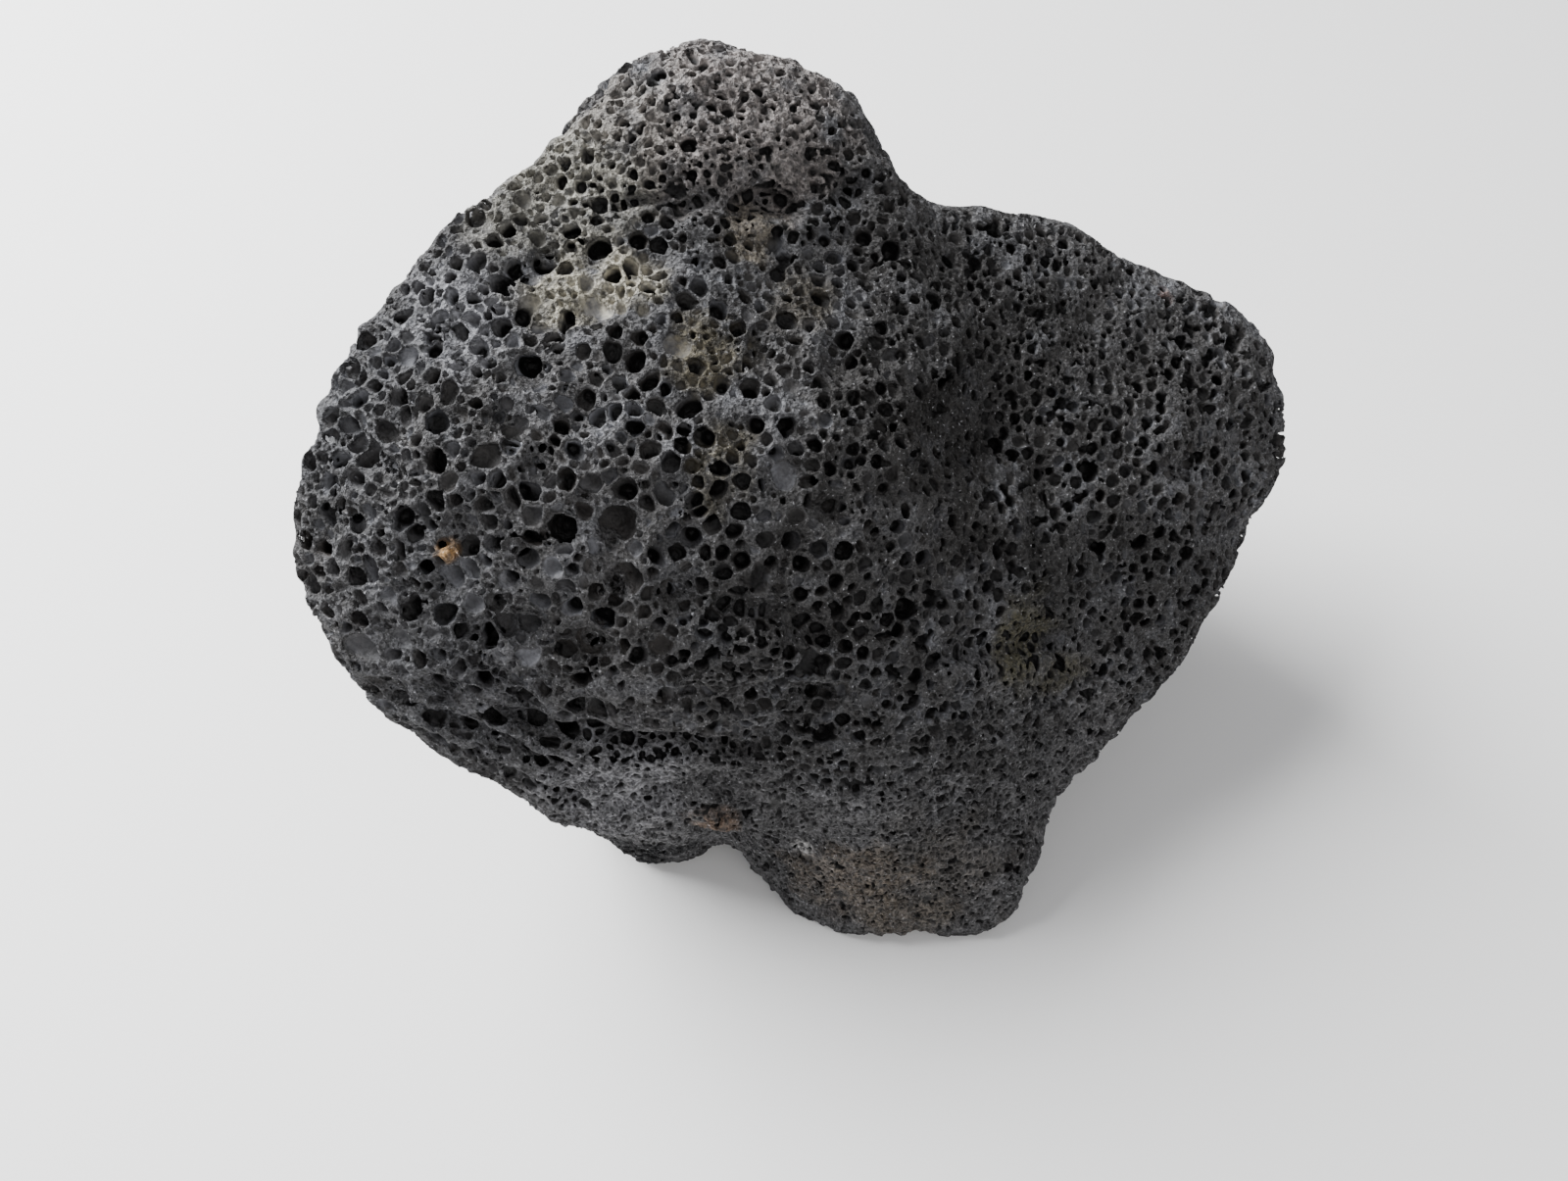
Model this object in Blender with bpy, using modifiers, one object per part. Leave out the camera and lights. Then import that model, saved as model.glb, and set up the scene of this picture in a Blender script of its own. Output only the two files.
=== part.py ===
"""A block of vesicular lava rock, 24 cm wide, that stands on three small level feet.

Blocks, each the convex skin of a few corner points, are merged into one skin and eased. Hollows
are sunk where the rock is creased, ledged or undercut, and the skin is roughened. It is then
parted into cells like a broken foam, with every cell pushed in to an open vesicle between thin
rims. The largest cavities are cut last, and the feet are cut level at z = 0.

Lengths are millimetres until `metres` turns them into Blender's units. The origin is at the
bottom centre of the bounding box, with +X to the right, +Y to the back and +Z up.
"""

import math
import random

import bmesh
import bpy
from mathutils import Euler, Matrix, Vector

NAME = "lava_rock"
MM = 0.001

# Corner points of the blocks, each block the convex skin of its points.
BLOCKS = {
    "main_mass": (
        (-46, 50, 168), (-75, 32, 165), (-83, 12, 158), (-106, 6, 152), (-119, -10, 139),
        (-125, -27, 121), (-124, -38, 110), (-117, -52, 94), (-98, -66, 72), (-80, -73, 55),
        (-72, -34, 143), (-56, -57, 116), (-24, -27, 144), (8, -24, 135), (-14, -59, 106),
        (34, 8, 130), (-62, -73, 46), (8, -72, 56), (20, 40, 148), (-108, 8, 66),
        (-86, 50, 84), (-40, 74, 100), (24, 76, 92), (36, 60, 30), (-46, 56, 30),
        (-66, -10, 26), (40, -30, 26), (-38, 82, 124), (18, 82, 122), (-70, 66, 110),
    ),
    "crown": (
        (-31, 64, 183), (1, 56, 173), (-51, 55, 170), (17, 42, 160), (23, 28, 149),
        (-34, 34, 176), (-63, 33, 167), (-20, 82, 150), (-50, 70, 140), (14, 74, 140),
        (-22, 20, 158),
    ),
    "right_wing": (
        (61, -65, 30), (74, -51, 44), (90, -26, 60), (114, -12, 70), (124, 0, 80),
        (125, 20, 93), (117, 36, 103), (92, 40, 120), (68, 44, 135), (22, 42, 150),
        (88, -6, 100), (48, -14, 104), (30, -40, 90), (60, 76, 90), (98, 58, 62),
        (100, 10, 44), (66, -10, 22), (40, 60, 20), (60, 50, 16),
    ),
    "front_face": (
        (8, -28, 134), (44, -16, 112), (58, -42, 70), (58, -62, 34), (8, -75, 56),
        (-28, -66, 88), (46, -56, 66), (20, -66, 76), (0, 0, 40), (-40, -70, 50),
    ),
    "underside": (
        (-50, -40, 8), (-60, 0, 14), (-50, 40, 10), (44, -40, 8), (52, 40, 10), (70, 0, 22),
        (-30, -54, 14), (0, 70, 14), (-50, -50, 40), (40, -50, 40), (0, 70, 50),
    ),
    "right_foot": (
        (36, -88, -8), (-9, -86, -8), (-22, -73, -8), (-29, -60, -8), (36, -50, -8),
        (37, -89, 8), (57, -65, 30), (66, -52, 38), (6, -74, 58), (-28, -67, 50),
        (18, -83, 20), (-40, -60, 26), (-10, -86, 8), (41, -60, 2),
    ),
    "left_foot": (
        (-64, -57, -8), (-48, -61, -8), (-43, -52, -8), (-52, -34, -8), (-80, -24, -8),
        (-76, -40, -6), (-78, -67, 50), (-44, -70, 44), (-100, -18, 50), (-40, -20, 40),
        (-36, -58, 20), (-96, -50, 56),
    ),
    "rear_foot": (
        (-28, 50, -6), (-12, 66, -6), (28, 62, -6), (38, 42, -6), (8, 32, -6),
        (-58, 52, 44), (62, 62, 44), (0, 0, 40), (-4, 84, 56), (30, 80, 50),
    ),
}

# Hollows sunk into the blocks: centre, reach along its own axes, turn about X, Y and Z in degrees.
HOLLOWS = {
    "valley": ((50, -28, 124), (12, 34, 13), (0, -20, -8)),
    "crease": ((-9, -58, 109), (19, 13, 5), (24, 8, -4)),
    "crown_notch": ((-14, 62, 182), (6, 18, 8), (0, 0, 0)),
    "shelf_crack": ((-15, 20, 160), (18, 10, 6), (-24, 0, 4)),
    "band_step": ((-54, -67, 88), (28, 8, 4), (0, 12, -7)),
    "shoulder_gap": ((27, 30, 158), (7, 15, 9), (0, 30, 0)),
    "lower_left_layer": ((-98, -62, 80), (26, 8, 5), (0, 41, -29)),
    "back_scoop": ((-34, 92, 82), (38, 13, 22), (0, 0, 8)),
    "back_ledge": ((52, 84, 58), (34, 14, 8), (0, 12, -12)),
    "side_scoop": ((-122, 24, 92), (14, 26, 22), (0, 20, 0)),
}

# Largest cavities, cut last: centre, reach along its own axes, turn about X, Y and Z in degrees.
CAVITIES = {
    "left_eye": ((-98, -20, 138), (4.2, 4.6, 5.4), (20, -20, 0)),
    "low_left_well": ((-74, -58, 97), (4.0, 6.5, 5.4), (0, 0, 10)),
    "front_well": ((-38, -58, 98), (4.4, 6.0, 4.0), (0, 0, 0)),
    "centre_well": ((-49, -38, 131), (4.8, 5.6, 4.4), (30, 0, 0)),
    "centre_low_well": ((-50, -45, 121), (4.4, 6.4, 3.6), (20, 0, 15)),
    "long_slot": ((-72, -49, 114), (6.4, 5.4, 3.2), (10, 12, 0)),
    "upper_edge_slot": ((-104, -53, 97), (7.0, 5.0, 3.0), (10, 25, -30)),
    "lower_edge_slot": ((-91, -56, 91), (6.4, 5.0, 3.0), (10, 20, -20)),
    "crown_slot": ((8, 31, 155), (7.0, 5.0, 3.2), (30, 20, 0)),
    "ring_well": ((-7, -57, 93), (4.2, 5.0, 4.2), (0, 0, 0)),
    "wing_well": ((85, -5, 96), (4.6, 5.4, 4.6), (0, 0, 0)),
}

# Sizes of the remeshing, the roughening and the facets.
VOXEL = 3.0
BROAD_LUMPS = (34.0, 8.0)
KNOBS = (12.0, 4.0)
CELL_RATIO = 0.0715

# Depth of an open vesicle against its width in the finest and in the coarsest foam, the share
# that goes deeper, and the height under which the skin stays whole.
FINE_DEPTH = 0.34
COARSE_DEPTH = 0.55
DEEP_SHARE = 0.06
FOOT_MARGIN = 7.0
SEED = 41


def metres(values):
    """A vector in metres from millimetres."""
    return Vector(values) * MM


def clear_scene():
    """Removes every object of the startup scene."""
    for old in list(bpy.data.objects):
        bpy.data.objects.remove(old, do_unlink=True)


def as_object(name, cage, collection):
    """A mesh object in a collection from a finished bmesh."""
    mesh = bpy.data.meshes.new(name)
    cage.to_mesh(mesh)
    cage.free()
    made = bpy.data.objects.new(name, mesh)
    collection.objects.link(made)
    return made


def as_cutter(name, cage, collection):
    """A mesh object from a finished bmesh that is only there to cut."""
    made = as_object(name, cage, collection)
    made.hide_render = True
    made.display_type = "WIRE"
    return made


def convex_blocks(groups):
    """A bmesh that holds the convex skin of each group of points."""
    cage = bmesh.new()
    for points in groups:
        block = bmesh.new()
        for point in points:
            block.verts.new(metres(point))
        skin = bmesh.ops.convex_hull(block, input=block.verts)
        inside = [v for v in skin["geom_interior"] if isinstance(v, bmesh.types.BMVert)]
        bmesh.ops.delete(block, geom=inside, context="VERTS")
        held = bpy.data.meshes.new("block")
        block.to_mesh(held)
        block.free()
        cage.from_mesh(held)
        bpy.data.meshes.remove(held)
    return cage


def ellipsoids(shapes, detail):
    """A bmesh that holds an ellipsoid for each centre, reach and turn."""
    cage = bmesh.new()
    for centre, reach, turn in shapes:
        place = Matrix.LocRotScale(
            metres(centre), Euler([math.radians(a) for a in turn]), metres(reach)
        )
        bmesh.ops.create_icosphere(cage, subdivisions=detail, radius=1.0, matrix=place)
    return cage


def remesh(rock, name, size):
    """Adds a voxel remesh."""
    skin = rock.modifiers.new(name, "REMESH")
    skin.mode = "VOXEL"
    skin.voxel_size = size * MM


def smooth(rock, name, rounds):
    """Adds a smoothing."""
    ease = rock.modifiers.new(name, "SMOOTH")
    ease.factor = 0.5
    ease.iterations = rounds


def roughen(rock, name, span, height):
    """Adds a displacement by a cloud pattern of a span and a height."""
    cloud = bpy.data.textures.new(name, "CLOUDS")
    cloud.noise_scale = span * MM
    cloud.noise_depth = 1
    rough = rock.modifiers.new(name, "DISPLACE")
    rough.texture = cloud
    rough.texture_coords = "LOCAL"
    rough.strength = height * MM
    rough.mid_level = 0.5


def cut(rock, name, cutter):
    """Adds a Boolean difference."""
    off = rock.modifiers.new(name, "BOOLEAN")
    off.operation = "DIFFERENCE"
    off.solver = "EXACT"
    off.object = cutter


def part_into_cells(rock):
    """Adds the change from triangles to the cells around their corners."""
    group = bpy.data.node_groups.new("cells", "GeometryNodeTree")
    group.interface.new_socket("Geometry", in_out="INPUT", socket_type="NodeSocketGeometry")
    group.interface.new_socket("Geometry", in_out="OUTPUT", socket_type="NodeSocketGeometry")
    start = group.nodes.new("NodeGroupInput")
    dual = group.nodes.new("GeometryNodeDualMesh")
    end = group.nodes.new("NodeGroupOutput")
    group.links.new(start.outputs[0], dual.inputs[0])
    group.links.new(dual.outputs[0], end.inputs[0])
    cells = rock.modifiers.new("cells", "NODES")
    cells.node_group = group


def floor_slab():
    """A bmesh of a slab that takes away everything below z = 0."""
    cage = bmesh.new()
    place = Matrix.LocRotScale(metres((0, 0, -20)), None, metres((400, 400, 40)))
    bmesh.ops.create_cube(cage, size=1.0, matrix=place)
    return cage


def coarseness(point):
    """How coarse the foam is at a point in millimetres, from 0 to 1."""
    left = 0.5 - point.x / 160.0
    low = max(0.0, (62.0 - point.z) / 40.0)
    return min(1.0, max(0.0, left - low + 0.1))


def open_foam(form):
    """A bmesh of the form with every cell of its skin pushed in to a vesicle."""
    rng = random.Random(SEED)
    seen = form.evaluated_get(bpy.context.evaluated_depsgraph_get())
    skin = bpy.data.meshes.new_from_object(seen)
    foam = bmesh.new()
    foam.from_mesh(skin)
    bpy.data.meshes.remove(skin)
    for cell in list(foam.faces):
        spot = cell.calc_center_median() / MM
        width = math.sqrt(cell.calc_area())
        share = FINE_DEPTH + (COARSE_DEPTH - FINE_DEPTH) * coarseness(spot)
        depth = width * share * rng.uniform(0.5, 1.2)
        if rng.random() < DEEP_SHARE:
            depth *= 1.7
        if spot.z < FOOT_MARGIN:
            depth = 0.0
        bmesh.ops.poke(foam, faces=[cell], offset=-depth)
    return foam


def centre_over_origin(rock, others):
    """Moves the rock and its cutters so that the rock's box is centred over the origin."""
    skin = rock.evaluated_get(bpy.context.evaluated_depsgraph_get()).data
    for axis in (0, 1):
        reach = [vertex.co[axis] for vertex in skin.vertices]
        middle = (min(reach) + max(reach)) / 2.0
        for held in (rock, *others):
            held.location[axis] -= middle


def stone():
    """Dark grey porous stone."""
    made = bpy.data.materials.new("basalt")
    made.use_nodes = True
    shader = made.node_tree.nodes["Principled BSDF"]
    shader.inputs["Base Color"].default_value = (0.052, 0.051, 0.055, 1.0)
    shader.inputs["Roughness"].default_value = 0.9
    shader.inputs["Metallic"].default_value = 0.0
    return made


def main():
    """Builds the rock."""
    clear_scene()
    home = bpy.data.collections.new(NAME)
    tools = bpy.data.collections.new("cutters")
    bpy.context.scene.collection.children.link(home)
    bpy.context.scene.collection.children.link(tools)
    form = as_cutter("form", convex_blocks(BLOCKS.values()), tools)
    remesh(form, "one skin", VOXEL)
    smooth(form, "ease the edges", 14)
    cut(form, "sink the hollows", as_cutter("hollows", ellipsoids(HOLLOWS.values(), 3), tools))
    remesh(form, "one skin again", VOXEL)
    smooth(form, "ease the hollows", 4)
    roughen(form, "broad lumps", *BROAD_LUMPS)
    roughen(form, "knobs", *KNOBS)
    facet = form.modifiers.new("facets", "DECIMATE")
    facet.ratio = CELL_RATIO
    part_into_cells(form)
    rock = as_object(NAME, open_foam(form), home)
    bpy.data.objects.remove(form)
    rock.data.materials.append(stone())
    cut(rock, "cut the cavities", as_cutter("cavities", ellipsoids(CAVITIES.values(), 2), tools))
    cut(rock, "level the feet", as_cutter("floor", floor_slab(), tools))
    centre_over_origin(rock, list(tools.objects))


main()
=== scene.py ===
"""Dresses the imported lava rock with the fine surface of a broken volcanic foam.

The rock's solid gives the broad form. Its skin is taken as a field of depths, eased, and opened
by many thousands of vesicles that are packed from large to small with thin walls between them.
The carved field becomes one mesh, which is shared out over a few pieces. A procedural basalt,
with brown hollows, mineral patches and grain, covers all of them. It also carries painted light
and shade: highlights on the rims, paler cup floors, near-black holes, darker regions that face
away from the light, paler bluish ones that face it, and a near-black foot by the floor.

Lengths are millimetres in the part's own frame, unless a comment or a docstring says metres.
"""

import logging
import math
from dataclasses import dataclass, field
from enum import Enum

import bpy
import numpy as np
import openvdb as vdb
from mathutils import Matrix, Vector


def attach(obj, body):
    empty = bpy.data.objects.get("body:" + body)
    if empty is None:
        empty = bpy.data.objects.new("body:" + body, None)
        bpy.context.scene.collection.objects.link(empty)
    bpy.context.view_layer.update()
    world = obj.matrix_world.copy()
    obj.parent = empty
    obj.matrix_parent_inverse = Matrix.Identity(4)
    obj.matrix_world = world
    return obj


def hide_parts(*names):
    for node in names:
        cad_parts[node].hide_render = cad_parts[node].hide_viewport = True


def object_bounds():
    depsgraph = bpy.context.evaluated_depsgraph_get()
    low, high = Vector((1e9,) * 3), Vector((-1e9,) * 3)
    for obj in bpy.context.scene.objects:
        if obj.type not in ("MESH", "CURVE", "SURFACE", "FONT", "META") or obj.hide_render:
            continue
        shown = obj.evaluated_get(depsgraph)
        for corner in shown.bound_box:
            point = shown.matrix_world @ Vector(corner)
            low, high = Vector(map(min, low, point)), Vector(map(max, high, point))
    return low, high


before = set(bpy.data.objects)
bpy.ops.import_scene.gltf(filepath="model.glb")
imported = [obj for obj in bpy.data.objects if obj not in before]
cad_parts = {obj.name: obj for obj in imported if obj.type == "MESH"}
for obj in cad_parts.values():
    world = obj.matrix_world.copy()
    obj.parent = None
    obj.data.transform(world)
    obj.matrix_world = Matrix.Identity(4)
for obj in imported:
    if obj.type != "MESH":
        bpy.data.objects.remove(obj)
CAD_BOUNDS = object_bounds()

LOG = logging.getLogger("lava_rock")
NODE = "lava_rock"
METRES = 0.001

# The random clouds repeat after this many cells.
LATTICE = 64

# A bell curve is cut off after this many of its spreads.
BELL_REACH = 2.5

# Where no zone is near: the weight, radius and share of crust of the plain foam.
PLAIN_FOAM = (0.02, 1.3, 0.2)

# Share of a zone's reach that is the spread of its hold, and how uneven the radius is.
ZONE_SPREAD = 0.8
UNEVEN_RADIUS = 0.16
UNEVEN_SPAN = 17.0

# How far lines wander from their straight run, over which span, and their least thickness.
LINE_WANDER = 1.5
WANDER_SPAN = 6.5
LINE_THICK = 2.5

# Distance that stands for no vesicle near, the smallest vesicle and the lowest one.
FAR_OFF = 9.0
SMALLEST = 0.55
LOWEST = 1.6

# The narrowest hole, and how much of its length along its own direction is discounted.
NARROWEST = 0.5
HOLE_LENGTH = 0.7

# Up to this much length against width a vesicle counts as round.
ROUND_ENOUGH = 1.02

# Room that the coarse grids leave round the rock, and the fine one.
WIDE_ROOM = 9.0
CLOSE_ROOM = 2.5

# An edge fades out where two vesicles are this much apart in distance, where the nearest
# is this far off, and this deep under the skin.
EDGE_APART = 1.2
EDGE_NEAR = 0.8
EDGE_SUNK = 1.6

# Below this depth the skin has its vesicle's tone, and above it the middle one.
TONED_DEPTH = 0.5
MIDDLE_TONE = 0.5

# Fields are known this many voxels to each side of a surface.
FIELD_BAND = 3.0

Array = np.ndarray
Socket = bpy.types.NodeSocket
Triple = tuple[float, float, float]
Colour = tuple[float, float, float]


class Layer(Enum):
    """Where a vesicle's centre lies under the skin, as shares of its radius."""

    DISH = (-1.15, -0.75)
    CUT = (-0.78, -0.38)
    PORE = (-0.45, -0.1)


class Turn(Enum):
    """Whether a crack line cuts into the stone or a fold line stands out of it."""

    CRACK = 1.0
    FOLD = -1.0

    def reach(self) -> float:
        """How much more than its depth a line moves the skin at its middle."""
        return 1.6 if self is Turn.CRACK else 1.0


@dataclass(frozen=True)
class FoamZone:
    """A region of the rock with its own foam.

    Args:
        centre: middle of the region.
        reach: how far the region's hold on the foam goes.
        radius: the vesicles' typical radius there.
        crust: how much of the skin is a granular crust, from none to all.
        drag: how far the flow of the melt drew the vesicles out, from none to all.
    """

    centre: Triple
    reach: float
    radius: float
    crust: float = 0.0
    drag: float = 0.0


@dataclass(frozen=True)
class Family:
    """A family of vesicles of like size.

    Args:
        scale: the lowest and highest radius as shares of the zone's typical radius.
        tries: how many places are tried.
        room: distance kept to the next vesicle, as a share of the radius.
        layer: where the centres lie.
    """

    scale: tuple[float, float]
    tries: int
    room: float
    layer: Layer


@dataclass(frozen=True)
class Line:
    """A crack or a fold along the skin.

    Args:
        points: spots that it passes.
        width: its half width along the skin.
        depth: how deep it cuts or how high it stands.
        turn: crack or fold.
    """

    points: tuple[Triple, ...]
    width: float
    depth: float
    turn: Turn


@dataclass(frozen=True)
class Lumps:
    """Random lumps of one size.

    Args:
        height: how far they move a surface.
        span: their size.
        seed: picks the pattern.
    """

    height: float
    span: float
    seed: int


SKIN_LUMPS = (Lumps(0.35, 5.0, 21), Lumps(0.16, 2.1, 22))
CRUST_LUMPS = (Lumps(0.55, 1.4, 24), Lumps(0.75, 2.9, 25))
WALL_LUMPS = (Lumps(0.13, 3.1, 23), Lumps(0.08, 1.3, 26))

FOAM_ZONES = (
    FoamZone((-101, -11, 135), 24, 2.15),
    FoamZone((-100, 20, 115), 30, 2.0),
    FoamZone((-66, -28, 126), 24, 2.05),
    FoamZone((-72, -46, 108), 18, 2.15),
    FoamZone((-94, -50, 96), 14, 1.7, 0.1, 0.9),
    FoamZone((-82, -58, 84), 12, 1.3, 0.3, 1.0),
    FoamZone((-55, -54, 92), 10, 1.7, 0.1, 0.7),
    FoamZone((-74, 10, 153), 20, 1.9),
    FoamZone((-45, 0, 150), 20, 1.9),
    FoamZone((-19, -9, 142), 22, 1.85),
    FoamZone((10, -5, 132), 22, 1.55),
    FoamZone((-12, -38, 118), 20, 1.75),
    FoamZone((20, -38, 100), 22, 1.5),
    FoamZone((-36, -54, 95), 14, 1.7),
    FoamZone((-4, -53, 88), 16, 1.45),
    FoamZone((-59, -64, 68), 14, 0.8, 1.0, 0.3),
    FoamZone((-34, -66, 62), 14, 0.8, 1.0),
    FoamZone((26, -60, 62), 16, 1.15, 0.3),
    FoamZone((10, -64, 66), 12, 1.0, 0.6),
    FoamZone((6, -76, 32), 24, 0.75, 1.0),
    FoamZone((38, -66, 28), 18, 0.8, 0.9),
    FoamZone((-18, 42, 171), 20, 0.95, 0.6),
    FoamZone((-50, 36, 166), 16, 1.2, 0.4),
    FoamZone((6, 48, 164), 14, 1.2, 0.3),
    FoamZone((34, 22, 138), 18, 1.25, 0.2),
    FoamZone((74, 26, 118), 20, 1.3, 0.3),
    FoamZone((84, -4, 99), 22, 1.6),
    FoamZone((108, 20, 90), 18, 1.5, 0.15),
    FoamZone((50, -40, 76), 14, 1.1, 0.5),
    FoamZone((100, 30, 60), 34, 1.35),
    FoamZone((-60, -40, 20), 26, 0.85, 0.9),
    FoamZone((-60, 60, 110), 40, 1.8),
    FoamZone((30, 75, 80), 40, 1.45),
    FoamZone((0, 50, 20), 44, 1.0, 0.6),
    FoamZone((0, 0, 10), 40, 1.1, 0.6),
)

# The direction in which the flow of the melt drew the vesicles out.
FLOW = (0.86, -0.25, -0.44)

# The tan grain: a point by it, its radius, how deep its middle lies, and the room round
# it that is kept free of holes.
GRAIN_PLACE = (-83.0, -36.0, 128.0)
GRAIN_RADIUS = 1.5
GRAIN_SUNK = 0.9
GRAIN_ROOM = 4.0

FAMILIES = (
    Family((1.45, 1.9), 2600, 0.9, Layer.DISH),
    Family((1.05, 1.3), 14000, 0.75, Layer.PORE),
    Family((0.8, 1.0), 160000, 0.66, Layer.CUT),
    Family((0.5, 0.75), 240000, 0.62, Layer.CUT),
    Family((0.3, 0.48), 300000, 0.55, Layer.CUT),
)

LINES = (
    Line(((-80, -57, 93), (-70, -58, 89), (-61, -59, 88), (-52, -60, 84), (-43, -60, 84),
          (-34, -61, 81), (-26, -62, 79)), 1.5, 4.2, Turn.CRACK),
    Line(((-78, -61, 88), (-66, -62, 83), (-54, -64, 79), (-42, -64, 78), (-30, -65, 75)), 3.4,
         1.6, Turn.FOLD),
    Line(((-27, -46, 117), (-20, -48, 115), (-12, -49, 111), (-6, -49, 106)), 1.8, 3.6,
         Turn.CRACK),
    Line(((-26, -50, 109), (-14, -53, 104), (0, -54, 97)), 3.0, 2.4, Turn.FOLD),
    Line(((-104, -50, 94), (-92, -54, 91), (-80, -58, 85), (-66, -62, 78)), 1.0, 2.6, Turn.CRACK),
    Line(((-99, -54, 88), (-86, -58, 82), (-72, -63, 74)), 1.9, 1.4, Turn.FOLD),
    Line(((-96, -55, 84), (-82, -60, 76), (-68, -66, 66)), 0.9, 2.4, Turn.CRACK),
    Line(((-18, 31, 158), (-13, 34, 158), (-8, 32, 156)), 1.7, 4.6, Turn.CRACK),
    Line(((-31, 27, 160), (-26, 30, 160)), 1.0, 3.0, Turn.CRACK),
    Line(((-43, 27, 163), (-38, 29, 162), (-34, 31, 161)), 0.6, 2.2, Turn.CRACK),
    Line(((5, 36, 156), (8, 38, 154)), 1.3, 2.6, Turn.CRACK),
    Line(((-18, 27, 155), (-9, 28, 154), (2, 30, 153)), 2.0, 2.4, Turn.FOLD),
    Line(((-30, 23, 158), (-22, 25, 157)), 1.7, 1.8, Turn.FOLD),
    Line(((22, -44, 92), (36, -42, 86), (50, -38, 80)), 2.2, 3.0, Turn.CRACK),
    Line(((26, -48, 84), (40, -46, 76), (52, -42, 70)), 4.0, 1.6, Turn.FOLD),
    Line(((-38, -68, 58), (-26, -69, 54), (-14, -70, 48)), 2.2, 2.0, Turn.FOLD),
    Line(((-40, -70, 50), (-30, -70, 47), (-22, -72, 42)), 1.4, 2.4, Turn.CRACK),
)


@dataclass
class Grid:
    """A box of equal voxels.

    Args:
        low: position of the first voxel's centre.
        step: voxel size.
        shape: number of voxels along each axis.
    """

    low: Array
    step: float
    shape: tuple[int, int, int]

    @classmethod
    def around(cls, low: Array, high: Array, margin: float, step: float) -> "Grid":
        """Makes a grid around a box.

        Args:
            low: lowest corner of the box.
            high: highest corner of the box.
            margin: room left on each side.
            step: voxel size.

        Returns:
            The grid.
        """
        start = np.floor((low - margin) / step)
        count = np.ceil((high + margin) / step) - start + 1
        return cls(start * step, step, tuple(int(c) for c in count))

    def axis(self, which: int) -> Array:
        """Positions of the voxels along one axis."""
        return (self.low[which] + self.step * np.arange(self.shape[which])).astype(np.float32)

    def sample(self, values: Array, points: Array) -> Array:
        """Reads values between voxels.

        Args:
            values: one value for each voxel.
            points: positions, one row each.

        Returns:
            The interpolated values.
        """
        place = (points - self.low) / self.step
        top = np.array(self.shape) - 2
        cell = np.clip(np.floor(place).astype(np.int64), 0, top)
        part = np.clip(place - cell, 0.0, 1.0).astype(np.float32)
        flat = values.reshape(-1)
        line = self.shape[2]
        sheet = self.shape[1] * line
        base = cell[:, 0] * sheet + cell[:, 1] * line + cell[:, 2]
        total = np.zeros(len(points), np.float32)
        for i in (0, 1):
            wide = part[:, 0] if i else 1.0 - part[:, 0]
            for j in (0, 1):
                deep = wide * (part[:, 1] if j else 1.0 - part[:, 1])
                for k in (0, 1):
                    share = deep * (part[:, 2] if k else 1.0 - part[:, 2])
                    total += share * flat[base + i * sheet + j * line + k]
        return total


def stretched(values: Array, source: Grid, target: Grid, soft: bool = False) -> Array:
    """Brings values of a coarse grid onto a finer one.

    Args:
        values: values on the coarse grid.
        source: the coarse grid.
        target: the fine grid.
        soft: whether the steps between coarse voxels are rounded.

    Returns:
        Values on the fine grid.
    """
    for which in range(3):
        place = (target.axis(which) - source.low[which]) / source.step
        cell = np.clip(np.floor(place).astype(np.int64), 0, source.shape[which] - 2)
        part = np.clip(place - cell, 0.0, 1.0).astype(np.float32)
        if soft:
            part = part * part * (3.0 - 2.0 * part)
        form = [1, 1, 1]
        form[which] = len(part)
        part = part.reshape(form)
        lower = np.take(values, cell, axis=which)
        upper = np.take(values, cell + 1, axis=which)
        values = lower + (upper - lower) * part
    return values


def eased(values: Array, spread: float) -> Array:
    """Blurs values with a bell curve.

    Args:
        values: one value for each voxel.
        spread: width of the bell curve in voxels.

    Returns:
        The blurred values.
    """
    reach = int(math.ceil(spread * BELL_REACH))
    weights = np.exp(-0.5 * (np.arange(-reach, reach + 1) / spread) ** 2)
    weights = (weights / weights.sum()).astype(np.float32)
    for which in range(3):
        edge = [(0, 0)] * 3
        edge[which] = (reach, reach)
        wide = np.pad(values, edge, mode="edge")
        out = np.zeros_like(values)
        for turn, weight in enumerate(weights):
            cut = [slice(None)] * 3
            cut[which] = slice(turn, turn + values.shape[which])
            out += weight * wide[tuple(cut)]
        values = out
    return values


def clouds(points: Array, span: float, seed: int) -> Array:
    """Smooth random values at points.

    Args:
        points: positions, one row each.
        span: size of the clouds.
        seed: picks the pattern.

    Returns:
        Values from minus one to one.
    """
    rng = np.random.default_rng(seed)
    lattice = rng.uniform(-1.0, 1.0, (LATTICE, LATTICE, LATTICE)).astype(np.float32)
    place = points / span
    cell = np.floor(place).astype(np.int64)
    part = (place - cell).astype(np.float32)
    part = part * part * (3.0 - 2.0 * part)
    flat = lattice.reshape(-1)
    total = np.zeros(len(points), np.float32)
    for i in (0, 1):
        x = ((cell[:, 0] + i) % LATTICE) * LATTICE * LATTICE
        wide = part[:, 0] if i else 1.0 - part[:, 0]
        for j in (0, 1):
            y = ((cell[:, 1] + j) % LATTICE) * LATTICE
            deep = wide * (part[:, 1] if j else 1.0 - part[:, 1])
            for k in (0, 1):
                z = (cell[:, 2] + k) % LATTICE
                total += deep * (part[:, 2] if k else 1.0 - part[:, 2]) * flat[x + y + z]
    return total


def lumps(target: Grid, span: float, seed: int) -> Array:
    """Smooth random values all over a grid.

    Args:
        target: the grid.
        span: size of the lumps.
        seed: picks the pattern.

    Returns:
        Values from minus one to one.
    """
    high = target.low + target.step * np.array(target.shape)
    source = Grid.around(target.low, high, span, span)
    lattice = np.random.default_rng(seed).uniform(-1.0, 1.0, source.shape).astype(np.float32)
    return stretched(lattice, source, target, soft=True)


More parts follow.
